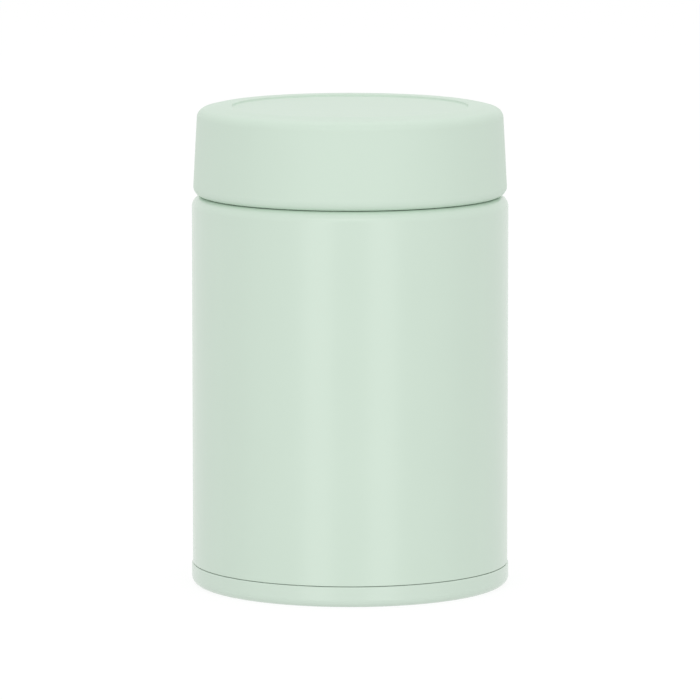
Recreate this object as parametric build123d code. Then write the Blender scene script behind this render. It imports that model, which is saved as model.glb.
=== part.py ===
from build123d import *

import math
import os

# Insulated food jar: a vacuum-walled steel jar, a base cover, and a screw lid that carries an inner lid.
#
# Millimetres. +Z is up, the jar's axis is the Z axis, and the origin is at the middle of the foot.
# The jar stands closed. Turning the lid anticlockwise, seen from above, raises it by the thread's lead.
# Heights build on each other from the foot upwards, so a change in one piece moves all that stands on it.

# --- Jar body ----------------------------------------------------------------------------------------
BODY_RADIUS = 39.5  # painted outside of the steel shell
SHELL_WALL = 0.5
SHELL_HEIGHT = 92.3  # lower edge of the shell to its shoulder
SHOULDER_WIDTH = 7.5  # side of the body in to the neck
SHOULDER_ROUNDING = 2.65
NECK_HEIGHT = 12.3  # shoulder to the top of the rim
NECK_ROOT_ROUNDING = 1.2
RIM_WIDTH = 3.0  # outside of the neck in to the mouth, over the half-round rim
VESSEL_WALL = 0.4
VESSEL_CORNER = 12.0  # rounding where the vessel's wall meets its floor
VACUUM_UNDER_VESSEL = 4.0

# --- Thread between neck and lid -------------------------------------------------------------------------
THREAD_STARTS = 2
THREAD_LEAD = 9.0  # rise of the lid in one turn
THREAD_DEPTH = 1.0
THREAD_ROOT_WIDTH = 2.0
THREAD_CREST_WIDTH = 0.9
THREAD_CLEARANCE = 0.3  # crest of a ridge to the wall opposite
THREAD_PLAY = 0.25  # flank of a lid ridge to the flank of the neck ridge above it
RIDGE_ROOT = 0.2  # depth to which a ridge runs into its own wall
NECK_THREAD_HEIGHT = 2.65  # shoulder to the middle of a neck ridge's lower end
NECK_THREAD_TURNS = 0.7
LID_THREAD_TURNS = 0.5
LID_THREAD_DELAY = 0.12  # turns from the lower end of a neck ridge to that of the lid ridge under it

# --- Steel bottom, and what the vacuum needs ---------------------------------------------------------------
PLATE_WALL = 0.5
PLATE_RISE = 3.2  # lower edge of the shell to the underside of the bottom plate
PLATE_BEND = 0.8  # inside radius where the plate turns down
DIMPLE_RADIUS = 6.0
DIMPLE_DEPTH = 1.2
DIMPLE_SLOPE = 1.5  # width of the sloping wall round the dimple
VENT_HOLE_RADIUS = 1.2  # hole through which the jar was evacuated
SEAL_BEAD_OVERLAP = 2.2  # bead past the edge of the hole
SEAL_BEAD_HEIGHT = 0.9
SEAL_BEAD_ROUNDING = 0.7
FOIL_THICKNESS = 0.1
FOIL_CLEARANCE = 0.05
FOIL_BELOW_SHOULDER = 4.55
GETTER_RADIUS = 4.0
GETTER_THICKNESS = 1.4
GETTER_OFFSET = 19.0  # jar's axis to the middle of the pellet
CLIP_THICKNESS = 0.2
CLIP_WIDTH = 3.0
CLIP_FOOT = 2.5

# --- Base cover ----------------------------------------------------------------------------------------
BASE_STEP = 0.25  # base cover proud of the body
BASE_HEIGHT = 5.22
BASE_ROUNDING = 2.0
BASE_EDGE_ROUNDING = 0.35
BASE_FLOOR = 1.6
SEAM_GAP = 0.13  # base cover to the lower edge of the shell
FOOT_RING_WIDTH = 5.5
FOOT_RECESS_DEPTH = 1.0
FOOT_RING_ROUNDING = 0.4
SPIGOT_WALL = 1.6
SPIGOT_EDGE_ROUNDING = 0.25
SPIGOT_ROOT_ROUNDING = 1.0
SPIGOT_CLEARANCE = 0.1
ADHESIVE_THICKNESS = 0.6

# --- Outer lid -------------------------------------------------------------------------------------------
LID_GAP = 0.1  # shoulder to the lower edge of the lid
LID_STEP = 0.25  # lower edge of the lid in from the side of the body
LID_TAPER = 1.15  # side of the lid in from its lower to its upper edge
LID_SIDE_WALL = 1.7  # at the upper edge
LID_TOP_WALL = 1.8
LID_BOTTOM_ROUNDING = 2.3
LID_TOP_ROUNDING = 2.55
LID_INNER_ROUNDING = 1.5
LID_EDGE_ROUNDING = 0.3
RING_WIDTH = 8.7  # upper edge of the lid in to the recess
RECESS_DEPTH = 0.55
RECESS_ROUNDING = 0.25
CROWN_OFFSET = 3.2  # edge of the recess out to where the ring begins to fall away
CROWN_RISE = 0.2  # edge of the recess up to that place
CROWN_ROUNDING = 12.0
CROWN_FALL = 1.04  # edge of the recess down to the corner over the side wall
INSULATION_THICKNESS = 3.9
INSULATION_CLEARANCE = 0.3
CAP_WALL = 1.5
CAP_PLATE = 1.6
CAP_FOOT_THICKNESS = 1.6
CAP_FOOT_INSET = 0.25  # lower edge of the lid cover up to the foot of the threaded cap
CLAW_COUNT = 4
CLAW_ANGLE = 46.0
CLAW_THICKNESS = 0.45
CLAW_RAMP = 0.45
CLAW_CLEARANCE = 0.5  # claws to the outside of the neck

# --- Inner lid -----------------------------------------------------------------------------------------
SEAT_GAP = 0.85  # top of the rim to the underside of the flange, taken up by the gasket
FLANGE_THICKNESS = 1.4
FLANGE_CLEARANCE = 0.2  # edge of the flange to the bore of the threaded cap
FLANGE_EDGE_ROUNDING = 0.4
LID_PLAY = 0.15  # flange to the plate above it and to the claws below it
PLUG_DEPTH = 12.5  # top of the rim down to the underside of the inner lid
PLUG_CLEARANCE = 2.2  # wall of the plug to the wall of the mouth, taken up by the gasket
PLUG_WALL = 1.4
PLUG_FLOOR = 1.6
PLUG_CORNER = 2.0
PLUG_INNER_CORNER = 0.8
PLUG_LEDGE = 0.8  # ledge that the closing disc lies on
PLUG_DISC_THICKNESS = 1.2
GASKET_HEIGHT = 4.9
GASKET_WALL = 1.1
GASKET_CLEARANCE = 0.1  # tip of a lip to the wall of the mouth
GASKET_LIP_PITCH = 1.5
GASKET_LIP_SLOPE = 1.0  # height over which a lip runs out to its tip
GASKET_FLAP_REACH = 2.6  # flap over the rim, out from the mouth
GASKET_FLAP_CLEARANCE = 0.05
GASKET_RIB = 0.6  # rib on the plug that the gasket stands on
GASKET_RIB_HEIGHT = 0.8
GASKET_RIB_ROUNDING = 0.3

# --- Valve that lets air in when the food has cooled -------------------------------------------------------
DISH_RADIUS = 9.0  # dish in the underside of the inner lid, round the valve's seal
DISH_DEPTH = 3.0
DISH_ROUNDING = 0.7
TUBE_RADIUS = 5.2  # bore of the tube that the spring and the collar move in
TUBE_WALL = 1.1
STEM_RADIUS = 1.5
STEM_CLEARANCE = 0.1
STEM_MARGIN = 1.2  # stem above its collar
STEM_TOP_ROUNDING = 0.5
STEM_HEAD_RADIUS = 3.2
STEM_HEAD_THICKNESS = 0.8
STEM_HEAD_ROUNDING = 0.4
SEAL_RADIUS = 6.5
SEAL_THICKNESS = 1.3
SEAL_ROUNDING = 0.6
SEAL_SEAT_GAP = 0.05
AIR_HOLE_COUNT = 6
AIR_HOLE_RADIUS = 0.7
AIR_HOLE_CIRCLE = 4.1
SPRING_RADIUS = 2.6
SPRING_WIRE = 0.4
SPRING_TURNS = 5
SPRING_LENGTH = 4.6
SPRING_END_GAP = 0.02
COLLAR_RADIUS = 4.2
COLLAR_THICKNESS = 1.0
COLLAR_ROUNDING = 0.3

# --- Radii that follow from the sizes --------------------------------------------------------------------
shell_bore = BODY_RADIUS - SHELL_WALL
flange_bore = shell_bore - PLATE_WALL  # inside of the bottom plate's turned-down edge
neck_radius = BODY_RADIUS - SHOULDER_WIDTH
mouth_radius = neck_radius - RIM_WIDTH
rim_rounding = RIM_WIDTH / 2
vessel_radius = mouth_radius + VESSEL_WALL
cap_bore = neck_radius + THREAD_DEPTH + THREAD_CLEARANCE
base_radius = BODY_RADIUS + BASE_STEP
spigot_radius = flange_bore - SPIGOT_CLEARANCE
lid_bottom_radius = BODY_RADIUS - LID_STEP
lid_top_radius = lid_bottom_radius - LID_TAPER
lid_bore = lid_top_radius - LID_SIDE_WALL
recess_radius = lid_top_radius - RING_WIDTH
flange_radius = cap_bore - FLANGE_CLEARANCE
plug_radius = mouth_radius - PLUG_CLEARANCE
plug_bore = plug_radius - PLUG_WALL
ledge_radius = plug_bore - PLUG_LEDGE
dish_wall_radius = DISH_RADIUS + PLUG_FLOOR

# --- Heights that follow from the sizes ------------------------------------------------------------------
shell_foot_z = BASE_HEIGHT + SEAM_GAP
shoulder_z = shell_foot_z + SHELL_HEIGHT
rim_z = shoulder_z + NECK_HEIGHT
neck_top_z = rim_z - rim_rounding
plate_z = shell_foot_z + PLATE_RISE
plate_top_z = plate_z + PLATE_WALL
vessel_bottom_z = plate_top_z + VACUUM_UNDER_VESSEL
vessel_floor_z = vessel_bottom_z + VESSEL_WALL
spigot_top_z = plate_z - ADHESIVE_THICKNESS
base_floor_z = FOOT_RECESS_DEPTH + BASE_FLOOR
lid_z = shoulder_z + LID_GAP
flange_z = rim_z + SEAT_GAP
flange_top_z = flange_z + FLANGE_THICKNESS
cap_plate_z = flange_top_z + LID_PLAY
cap_plate_top_z = cap_plate_z + CAP_PLATE
insulation_top_z = cap_plate_top_z + INSULATION_THICKNESS
recess_z = insulation_top_z + LID_TOP_WALL
ring_z = recess_z + RECESS_DEPTH
plug_z = rim_z - PLUG_DEPTH
plug_floor_z = plug_z + PLUG_FLOOR
disc_z = flange_top_z - PLUG_DISC_THICKNESS
gasket_z = flange_z - GASKET_HEIGHT
seat_z = plug_z + DISH_DEPTH
dish_top_z = seat_z + PLUG_FLOOR
seal_top_z = seat_z - SEAL_SEAT_GAP
seal_z = seal_top_z - SEAL_THICKNESS
collar_z = dish_top_z + SPRING_LENGTH
collar_top_z = collar_z + COLLAR_THICKNESS

# --- Thread sizes that follow ------------------------------------------------------------------------------
ridge_slope = (THREAD_ROOT_WIDTH - THREAD_CREST_WIDTH) / 2 / THREAD_DEPTH
ridge_root_half = THREAD_ROOT_WIDTH / 2 + RIDGE_ROOT * ridge_slope
ridge_crest_half = THREAD_CREST_WIDTH / 2
neck_thread_z = shoulder_z + NECK_THREAD_HEIGHT
lid_ridge_drop = THREAD_ROOT_WIDTH - ridge_slope * (THREAD_DEPTH + THREAD_CLEARANCE) + THREAD_PLAY
lid_thread_z = neck_thread_z + THREAD_LEAD * LID_THREAD_DELAY - lid_ridge_drop


def rounded_corner(before, corner, after, rounding):
    """Start, middle and end of the arc that rounds a corner, or the corner alone where it is sharp."""
    if rounding <= 0:
        return [corner]
    to_before = (before - corner).normalized()
    to_after = (after - corner).normalized()
    half_angle = math.radians(to_before.get_angle(to_after)) / 2
    along = rounding / math.tan(half_angle)
    inward = (to_before + to_after).normalized()
    centre = corner + inward * (rounding / math.sin(half_angle))
    return [corner + to_before * along, centre - inward * rounding, corner + to_after * along]


def outline(*corners):
    """Closed face in the XZ plane. A corner is (radius, height) or (radius, height, rounding)."""
    points = [Vector(corner[0], 0, corner[1]) for corner in corners]
    roundings = [corner[2] if len(corner) == 3 else 0 for corner in corners]
    count = len(points)
    turns = [
        rounded_corner(points[i - 1], points[i], points[(i + 1) % count], roundings[i])
        for i in range(count)
    ]
    edges = []
    for i, turn in enumerate(turns):
        if len(turn) == 3:
            edges.append(Edge.make_three_point_arc(*turn))
        start = turn[-1]
        end = turns[(i + 1) % count][0]
        if (end - start).length > 1e-6:
            edges.append(Edge.make_line(start, end))
    return Face(Wire(edges))


def turned(*corners, angle=360.0):
    """Outline turned about the jar's axis."""
    return revolve(outline(*corners), axis=Axis.Z, revolution_arc=angle)


def ridge_end(root_radius, outward, height, turns):
    """Cone that gives a ridge a round end, standing on its wall at a height and a number of turns."""
    cone = Cone(
        bottom_radius=ridge_root_half,
        top_radius=ridge_crest_half,
        height=THREAD_DEPTH + RIDGE_ROOT,
        align=(Align.CENTER, Align.CENTER, Align.MIN),
    )
    standing = Location((root_radius, 0, height)) * Rotation(0, outward * 90, 0)
    return Rotation(0, 0, 360 * turns) * standing * cone


def thread_ridges(wall_radius, outward, start_z, start_turns, turns):
    """One ridge for each start of the thread. outward is 1 on a neck and -1 in a bore."""
    root_radius = wall_radius - outward * RIDGE_ROOT
    crest_radius = wall_radius + outward * THREAD_DEPTH
    rise = THREAD_LEAD * turns
    path = Helix(pitch=THREAD_LEAD, height=rise, radius=wall_radius, center=(0, 0, start_z))
    section = outline(
        (root_radius, start_z - ridge_root_half),
        (crest_radius, start_z - ridge_crest_half),
        (crest_radius, start_z + ridge_crest_half),
        (root_radius, start_z + ridge_root_half),
    )
    ridge = sweep(section, path=path, is_frenet=True)
    ridge += ridge_end(root_radius, outward, start_z, 0)
    ridge += ridge_end(root_radius, outward, start_z + rise, turns)
    return [
        Rotation(0, 0, 360 * (start_turns + start / THREAD_STARTS)) * ridge
        for start in range(THREAD_STARTS)
    ]


# --- Pieces of the jar body ------------------------------------------------------------------------------
def outer_shell():
    """Drawn steel shell: body, shoulder and neck, with the neck's thread rolled into it."""
    inner_neck = neck_radius - SHELL_WALL
    under_shoulder_z = shoulder_z - SHELL_WALL
    shell = turned(
        (BODY_RADIUS, shell_foot_z),
        (BODY_RADIUS, shoulder_z, SHOULDER_ROUNDING),
        (neck_radius, shoulder_z, NECK_ROOT_ROUNDING),
        (neck_radius, neck_top_z),
        (inner_neck, neck_top_z),
        (inner_neck, under_shoulder_z, NECK_ROOT_ROUNDING + SHELL_WALL),
        (shell_bore, under_shoulder_z, SHOULDER_ROUNDING - SHELL_WALL),
        (shell_bore, shell_foot_z),
    )
    for ridge in thread_ridges(neck_radius, 1, neck_thread_z, 0, NECK_THREAD_TURNS):
        shell += ridge
    return shell


def inner_vessel():
    """Drawn steel food vessel, with the half-round rim that is welded to the top of the neck."""
    return turned(
        (0, vessel_floor_z),
        (mouth_radius, vessel_floor_z, VESSEL_CORNER),
        (mouth_radius, rim_z, rim_rounding),
        (neck_radius, rim_z, rim_rounding),
        (neck_radius, neck_top_z),
        (neck_radius - VESSEL_WALL, neck_top_z),
        (neck_radius - VESSEL_WALL, rim_z - VESSEL_WALL, rim_rounding - VESSEL_WALL),
        (vessel_radius, rim_z - VESSEL_WALL, rim_rounding - VESSEL_WALL),
        (vessel_radius, vessel_bottom_z, VESSEL_CORNER + VESSEL_WALL),
        (0, vessel_bottom_z),
    )


def radiation_foil():
    """Thin foil round the straight wall of the vessel, inside the vacuum, that throws heat back."""
    inside = vessel_radius + FOIL_CLEARANCE
    lower_z = vessel_floor_z + VESSEL_CORNER
    upper_z = shoulder_z - FOIL_BELOW_SHOULDER
    return turned(
        (inside, lower_z),
        (inside + FOIL_THICKNESS, lower_z),
        (inside + FOIL_THICKNESS, upper_z),
        (inside, upper_z),
    )


def bottom_plate():
    """Pressed steel plate welded into the shell, with a dimple round the evacuation hole."""
    dimple_edge = DIMPLE_RADIUS + DIMPLE_SLOPE
    return turned(
        (VENT_HOLE_RADIUS, plate_z + DIMPLE_DEPTH),
        (DIMPLE_RADIUS, plate_z + DIMPLE_DEPTH),
        (dimple_edge, plate_z),
        (flange_bore, plate_z, PLATE_BEND),
        (flange_bore, shell_foot_z),
        (shell_bore, shell_foot_z),
        (shell_bore, plate_top_z, PLATE_BEND + PLATE_WALL),
        (dimple_edge, plate_top_z),
        (DIMPLE_RADIUS, plate_top_z + DIMPLE_DEPTH),
        (VENT_HOLE_RADIUS, plate_top_z + DIMPLE_DEPTH),
    )


def vacuum_seal():
    """Brazed bead that fills the evacuation hole and spreads under the plate."""
    dimple_z = plate_z + DIMPLE_DEPTH
    bead_radius = VENT_HOLE_RADIUS + SEAL_BEAD_OVERLAP
    return turned(
        (0, dimple_z - SEAL_BEAD_HEIGHT),
        (bead_radius, dimple_z - SEAL_BEAD_HEIGHT, SEAL_BEAD_ROUNDING),
        (bead_radius, dimple_z),
        (VENT_HOLE_RADIUS, dimple_z),
        (VENT_HOLE_RADIUS, dimple_z + PLATE_WALL),
        (0, dimple_z + PLATE_WALL),
    )


def getter():
    """Pellet on the bottom plate that takes up the last gas in the vacuum."""
    pellet = Cylinder(GETTER_RADIUS, GETTER_THICKNESS, align=(Align.CENTER, Align.CENTER, Align.MIN))
    return Location((GETTER_OFFSET, 0, plate_top_z)) * pellet


def getter_clip():
    """Strip of thin steel, spot-welded to the plate, that holds the getter down."""
    side = GETTER_RADIUS + CLIP_THICKNESS
    foot = side + CLIP_FOOT
    top = GETTER_THICKNESS + CLIP_THICKNESS
    strip_outline = outline(
        (-foot, 0),
        (-GETTER_RADIUS, 0),
        (-GETTER_RADIUS, GETTER_THICKNESS),
        (GETTER_RADIUS, GETTER_THICKNESS),
        (GETTER_RADIUS, 0),
        (foot, 0),
        (foot, CLIP_THICKNESS),
        (side, CLIP_THICKNESS),
        (side, top),
        (-side, top),
        (-side, CLIP_THICKNESS),
        (-foot, CLIP_THICKNESS),
    )
    return Location((GETTER_OFFSET, 0, plate_top_z)) * extrude(strip_outline, CLIP_WIDTH / 2, both=True)


def base_cover():
    """Moulded cover under the steel, with a spigot that centres it in the bottom plate's edge."""
    ring_inside = base_radius - BASE_ROUNDING - FOOT_RING_WIDTH
    spigot_inside = spigot_radius - SPIGOT_WALL
    return turned(
        (0, FOOT_RECESS_DEPTH),
        (ring_inside, FOOT_RECESS_DEPTH, FOOT_RING_ROUNDING),
        (ring_inside, 0, FOOT_RING_ROUNDING),
        (base_radius, 0, BASE_ROUNDING),
        (base_radius, BASE_HEIGHT, BASE_EDGE_ROUNDING),
        (spigot_radius, BASE_HEIGHT),
        (spigot_radius, spigot_top_z, SPIGOT_EDGE_ROUNDING),
        (spigot_inside, spigot_top_z, SPIGOT_EDGE_ROUNDING),
        (spigot_inside, base_floor_z, SPIGOT_ROOT_ROUNDING),
        (0, base_floor_z),
    )


def base_adhesive():
    """Cured adhesive between the flat top of the spigot and the flat underside of the bottom plate."""
    inside = spigot_radius - SPIGOT_WALL + SPIGOT_EDGE_ROUNDING
    outside = flange_bore - PLATE_BEND
    return turned(
        (inside, spigot_top_z),
        (outside, spigot_top_z),
        (outside, plate_z),
        (inside, plate_z),
    )


# --- Pieces of the outer lid -----------------------------------------------------------------------------
def lid_cover():
    """Moulded outside of the lid: tapered side, soft edge, and a crowned ring round a shallow recess."""
    return turned(
        (0, insulation_top_z),
        (lid_bore, insulation_top_z, LID_INNER_ROUNDING),
        (lid_bore, lid_z, LID_EDGE_ROUNDING),
        (lid_bottom_radius, lid_z, LID_BOTTOM_ROUNDING),
        (lid_top_radius, ring_z - CROWN_FALL, LID_TOP_ROUNDING),
        (recess_radius + CROWN_OFFSET, ring_z + CROWN_RISE, CROWN_ROUNDING),
        (recess_radius, ring_z, RECESS_ROUNDING),
        (recess_radius, recess_z, RECESS_ROUNDING),
        (0, recess_z),
    )


def lid_insulation():
    """Foam disc between the lid cover and the threaded cap."""
    radius = lid_bore - INSULATION_CLEARANCE
    return turned(
        (0, cap_plate_top_z),
        (radius, cap_plate_top_z),
        (radius, insulation_top_z, LID_INNER_ROUNDING),
        (0, insulation_top_z),
    )


def thread_cap():
    """Threaded cap fixed in the lid cover, with claws that carry the inner lid by its flange."""
    skirt_radius = cap_bore + CAP_WALL
    foot_z = lid_z + CAP_FOOT_INSET
    cap = turned(
        (0, cap_plate_z),
        (cap_bore, cap_plate_z),
        (cap_bore, foot_z, LID_EDGE_ROUNDING),
        (lid_bore, foot_z),
        (lid_bore, foot_z + CAP_FOOT_THICKNESS),
        (skirt_radius, foot_z + CAP_FOOT_THICKNESS),
        (skirt_radius, cap_plate_z),
        (lid_bore, cap_plate_z),
        (lid_bore, cap_plate_top_z),
        (0, cap_plate_top_z),
    )
    for ridge in thread_ridges(cap_bore, -1, lid_thread_z, LID_THREAD_DELAY, LID_THREAD_TURNS):
        cap += ridge
    claw_top_z = flange_z - LID_PLAY
    claw_radius = neck_radius + CLAW_CLEARANCE
    claw_root = cap_bore + RIDGE_ROOT
    claw = turned(
        (claw_radius, claw_top_z),
        (claw_radius, claw_top_z - CLAW_THICKNESS),
        (claw_root, claw_top_z - CLAW_THICKNESS - CLAW_RAMP),
        (claw_root, claw_top_z),
        angle=CLAW_ANGLE,
    )
    for index in range(CLAW_COUNT):
        cap += Rotation(0, 0, 360 * index / CLAW_COUNT) * claw
    return cap


# --- Pieces of the inner lid -----------------------------------------------------------------------------
def inner_lid():
    """Moulded plug: a flange over the rim, a dish round the valve's seal, a tube round its spring."""
    rib_radius = plug_radius + GASKET_RIB
    rib_z = gasket_z - GASKET_RIB_HEIGHT
    tube_outside = TUBE_RADIUS + TUBE_WALL
    plug = turned(
        (0, seat_z),
        (DISH_RADIUS, seat_z, DISH_ROUNDING),
        (DISH_RADIUS, plug_z, DISH_ROUNDING),
        (plug_radius, plug_z, PLUG_CORNER),
        (plug_radius, rib_z),
        (rib_radius, rib_z, GASKET_RIB_ROUNDING),
        (rib_radius, gasket_z),
        (plug_radius, gasket_z),
        (plug_radius, flange_z),
        (flange_radius, flange_z),
        (flange_radius, flange_top_z, FLANGE_EDGE_ROUNDING),
        (plug_bore, flange_top_z),
        (plug_bore, disc_z),
        (ledge_radius, disc_z),
        (ledge_radius, plug_floor_z, PLUG_INNER_CORNER),
        (dish_wall_radius, plug_floor_z, PLUG_INNER_CORNER),
        (dish_wall_radius, dish_top_z, PLUG_INNER_CORNER),
        (tube_outside, dish_top_z),
        (tube_outside, disc_z),
        (TUBE_RADIUS, disc_z),
        (TUBE_RADIUS, dish_top_z),
        (0, dish_top_z),
    )
    drill_middle = Location((0, 0, (seat_z + dish_top_z) / 2))
    drill_length = 2 * PLUG_FLOOR
    plug -= drill_middle * Cylinder(STEM_RADIUS + STEM_CLEARANCE, drill_length)
    air_hole = drill_middle * Location((AIR_HOLE_CIRCLE, 0, 0)) * Cylinder(AIR_HOLE_RADIUS, drill_length)
    for index in range(AIR_HOLE_COUNT):
        plug -= Rotation(0, 0, 360 * index / AIR_HOLE_COUNT) * air_hole
    return plug


def inner_lid_cap():
    """Disc that closes the plug from above, open over the valve's tube."""
    return turned(
        (TUBE_RADIUS, disc_z),
        (plug_bore, disc_z),
        (plug_bore, flange_top_z),
        (TUBE_RADIUS, flange_top_z),
    )


def inner_lid_foam():
    """Foam ring inside the plug, round the dish."""
    inside = dish_wall_radius + INSULATION_CLEARANCE
    outside = ledge_radius - INSULATION_CLEARANCE
    return turned(
        (inside, plug_floor_z, PLUG_INNER_CORNER),
        (outside, plug_floor_z, PLUG_INNER_CORNER),
        (outside, disc_z),
        (inside, disc_z),
    )


def lid_gasket():
    """Silicone ring round the plug: two lips towards the mouth and a flap over the rim."""
    body = plug_radius + GASKET_WALL
    tip = mouth_radius - GASKET_CLEARANCE
    flap_z = rim_z + GASKET_FLAP_CLEARANCE
    flap_edge = mouth_radius + GASKET_FLAP_REACH
    lower_lip_z = gasket_z + GASKET_LIP_PITCH
    upper_lip_z = lower_lip_z + GASKET_LIP_PITCH
    return turned(
        (plug_radius, gasket_z),
        (body, gasket_z),
        (tip, gasket_z + GASKET_LIP_SLOPE),
        (tip, lower_lip_z),
        (body, lower_lip_z),
        (tip, lower_lip_z + GASKET_LIP_SLOPE),
        (tip, upper_lip_z),
        (body, upper_lip_z),
        (body, flap_z),
        (flap_edge, flap_z),
        (flap_edge, flange_z),
        (plug_radius, flange_z),
    )


# --- Pieces of the valve ---------------------------------------------------------------------------------
def valve_stem():
    """Stem through the inner lid, with a head below that carries the seal."""
    head_z = seal_z - STEM_HEAD_THICKNESS
    top_z = collar_top_z + STEM_MARGIN
    return turned(
        (0, head_z),
        (STEM_HEAD_RADIUS, head_z, STEM_HEAD_ROUNDING),
        (STEM_HEAD_RADIUS, seal_z),
        (STEM_RADIUS, seal_z),
        (STEM_RADIUS, top_z, STEM_TOP_ROUNDING),
        (0, top_z),
    )


def valve_seal():
    """Silicone disc that closes the air holes from below."""
    return turned(
        (STEM_RADIUS, seal_z),
        (SEAL_RADIUS, seal_z, SEAL_ROUNDING),
        (SEAL_RADIUS, seal_top_z),
        (STEM_RADIUS, seal_top_z),
    )


def valve_spring():
    """Coil spring between the inner lid and the collar, which holds the seal up on its seat."""
    lower_z = dish_top_z + SPRING_END_GAP + SPRING_WIRE / 2
    rise = SPRING_LENGTH - SPRING_WIRE - 2 * SPRING_END_GAP
    path = Helix(pitch=rise / SPRING_TURNS, height=rise, radius=SPRING_RADIUS, center=(0, 0, lower_z))
    wire_section = Plane(origin=path @ 0, z_dir=path % 0) * Circle(SPRING_WIRE / 2)
    return sweep(wire_section, path=path, is_frenet=True)


def valve_collar():
    """Collar pressed on the stem, which the spring pushes up."""
    return turned(
        (STEM_RADIUS, collar_z),
        (COLLAR_RADIUS, collar_z),
        (COLLAR_RADIUS, collar_top_z, COLLAR_ROUNDING),
        (STEM_RADIUS, collar_top_z),
    )


PIECES = (
    outer_shell,
    inner_vessel,
    radiation_foil,
    bottom_plate,
    vacuum_seal,
    getter,
    getter_clip,
    base_cover,
    base_adhesive,
    lid_cover,
    lid_insulation,
    thread_cap,
    inner_lid,
    inner_lid_cap,
    inner_lid_foam,
    lid_gasket,
    valve_stem,
    valve_seal,
    valve_spring,
    valve_collar,
)

os.makedirs("parts", exist_ok=True)
for make_piece in PIECES:
    export_step(make_piece(), f"parts/{make_piece.__name__}.step")
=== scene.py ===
import math

import bmesh
import bpy
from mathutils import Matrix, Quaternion, Vector


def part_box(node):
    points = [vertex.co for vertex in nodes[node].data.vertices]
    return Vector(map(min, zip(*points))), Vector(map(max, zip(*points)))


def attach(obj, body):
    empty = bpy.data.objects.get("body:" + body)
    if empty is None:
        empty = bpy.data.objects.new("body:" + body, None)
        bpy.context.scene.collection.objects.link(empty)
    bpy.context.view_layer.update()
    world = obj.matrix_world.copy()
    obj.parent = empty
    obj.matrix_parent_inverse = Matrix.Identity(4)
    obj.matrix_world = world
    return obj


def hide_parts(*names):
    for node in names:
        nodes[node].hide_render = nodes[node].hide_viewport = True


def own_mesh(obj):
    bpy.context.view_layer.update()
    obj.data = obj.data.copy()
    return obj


# Insulated food jar: a vacuum-walled steel jar on a moulded base, with a screw lid that carries a plug and
# a gasket. Everything is in metres, +Z is up, and the jar's axis is the Z axis. Sizes are written in mm.
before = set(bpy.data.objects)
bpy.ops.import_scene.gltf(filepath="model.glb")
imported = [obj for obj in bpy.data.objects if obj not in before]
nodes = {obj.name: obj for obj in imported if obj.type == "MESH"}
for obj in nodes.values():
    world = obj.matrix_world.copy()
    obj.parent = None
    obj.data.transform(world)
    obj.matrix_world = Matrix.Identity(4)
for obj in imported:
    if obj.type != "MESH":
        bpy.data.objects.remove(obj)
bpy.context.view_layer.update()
MM = 0.001


# === Camera ===
# A long lens a metre and a half away and a little above the lid: the sides of the jar stay nearly
# parallel, and its top shows as a thin ellipse.
CAMERA_DISTANCE = 1565 * MM
CAMERA_HEIGHT = 267.68 * MM
CAMERA_SIDE = -0.03 * MM
CAMERA_TILT = math.radians(7.6075)
SENSOR = 36  # in mm, as the lens below
FOCAL_LENGTH = 324.32

lens = bpy.data.cameras.new("camera")
lens.sensor_width = SENSOR
lens.lens = FOCAL_LENGTH
camera = bpy.data.objects.new("camera", lens)
camera.location = (CAMERA_SIDE, -CAMERA_DISTANCE, CAMERA_HEIGHT)
camera.rotation_euler = (math.pi / 2 - CAMERA_TILT, 0, 0)
bpy.context.scene.collection.objects.link(camera)
bpy.context.scene.camera = camera
bpy.context.scene.view_settings.view_transform = "Standard"


# === Studio ===
# A white glass floor in a white surround, with two tall lamps beside the camera, a strip lamp above it and
# a wide lamp overhead. The tall lamps shine through the floor too, so the gloss shows them to the foot.
FLOOR_SIZE = 30.0
FLOOR_DROP = 0.02 * MM  # keeps the foot's flat ring from lying in the very plane of the floor
FLOOR_GLOW = 0.86  # brightness of the floor, as it is seen, where no light falls on it
FLOOR_SHADE = 0.17  # share of the light on the floor that is added to it
FLOOR_BOUNCE = 0.54  # brightness of the floor, as it lights the jar, where no light falls on it
AMBIENT = 0.79  # brightness of the surround, as it lights the jar
LAMP_DISTANCE = 1.5
JAR_MIDDLE = Vector((0, 0, 60 * MM))
WHITE = (1, 1, 1, 1)
MATH = "ShaderNodeMath"


def srgb(code):
    """Linear colour, with alpha 1, of an sRGB hex code."""
    channels = [int(code[i:i + 2], 16) / 255 for i in (0, 2, 4)]
    return (*((c / 12.92 if c < 0.04045 else ((c + 0.055) / 1.055) ** 2.4) for c in channels), 1)


def add_node(tree, kind, entries=None):
    """Adds a node. Each entry is a property or an input, by its name or its place among the inputs.

    A value is set, and an output is linked. A node stands for the first of its outputs in use."""
    node = tree.nodes.new(kind)
    for name, value in (entries or {}).items():
        if isinstance(name, str) and hasattr(node, name):
            setattr(node, name, value)
            continue
        socket = next(s for i, s in enumerate(node.inputs) if s.enabled and name in (i, s.name))
        if isinstance(value, bpy.types.Node):
            value = next(s for s in value.outputs if s.enabled)
        if isinstance(value, bpy.types.NodeSocket):
            tree.links.new(value, socket)
        else:
            socket.default_value = value
    return node


def shows_surround(tree):
    """1 for rays from the camera and off gloss, for which the floor and the surround are white."""
    ray = add_node(tree, "ShaderNodeLightPath").outputs
    either = {"operation": "MAXIMUM", 0: ray["Is Camera Ray"], 1: ray["Is Glossy Ray"]}
    return add_node(tree, MATH, either)


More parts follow.
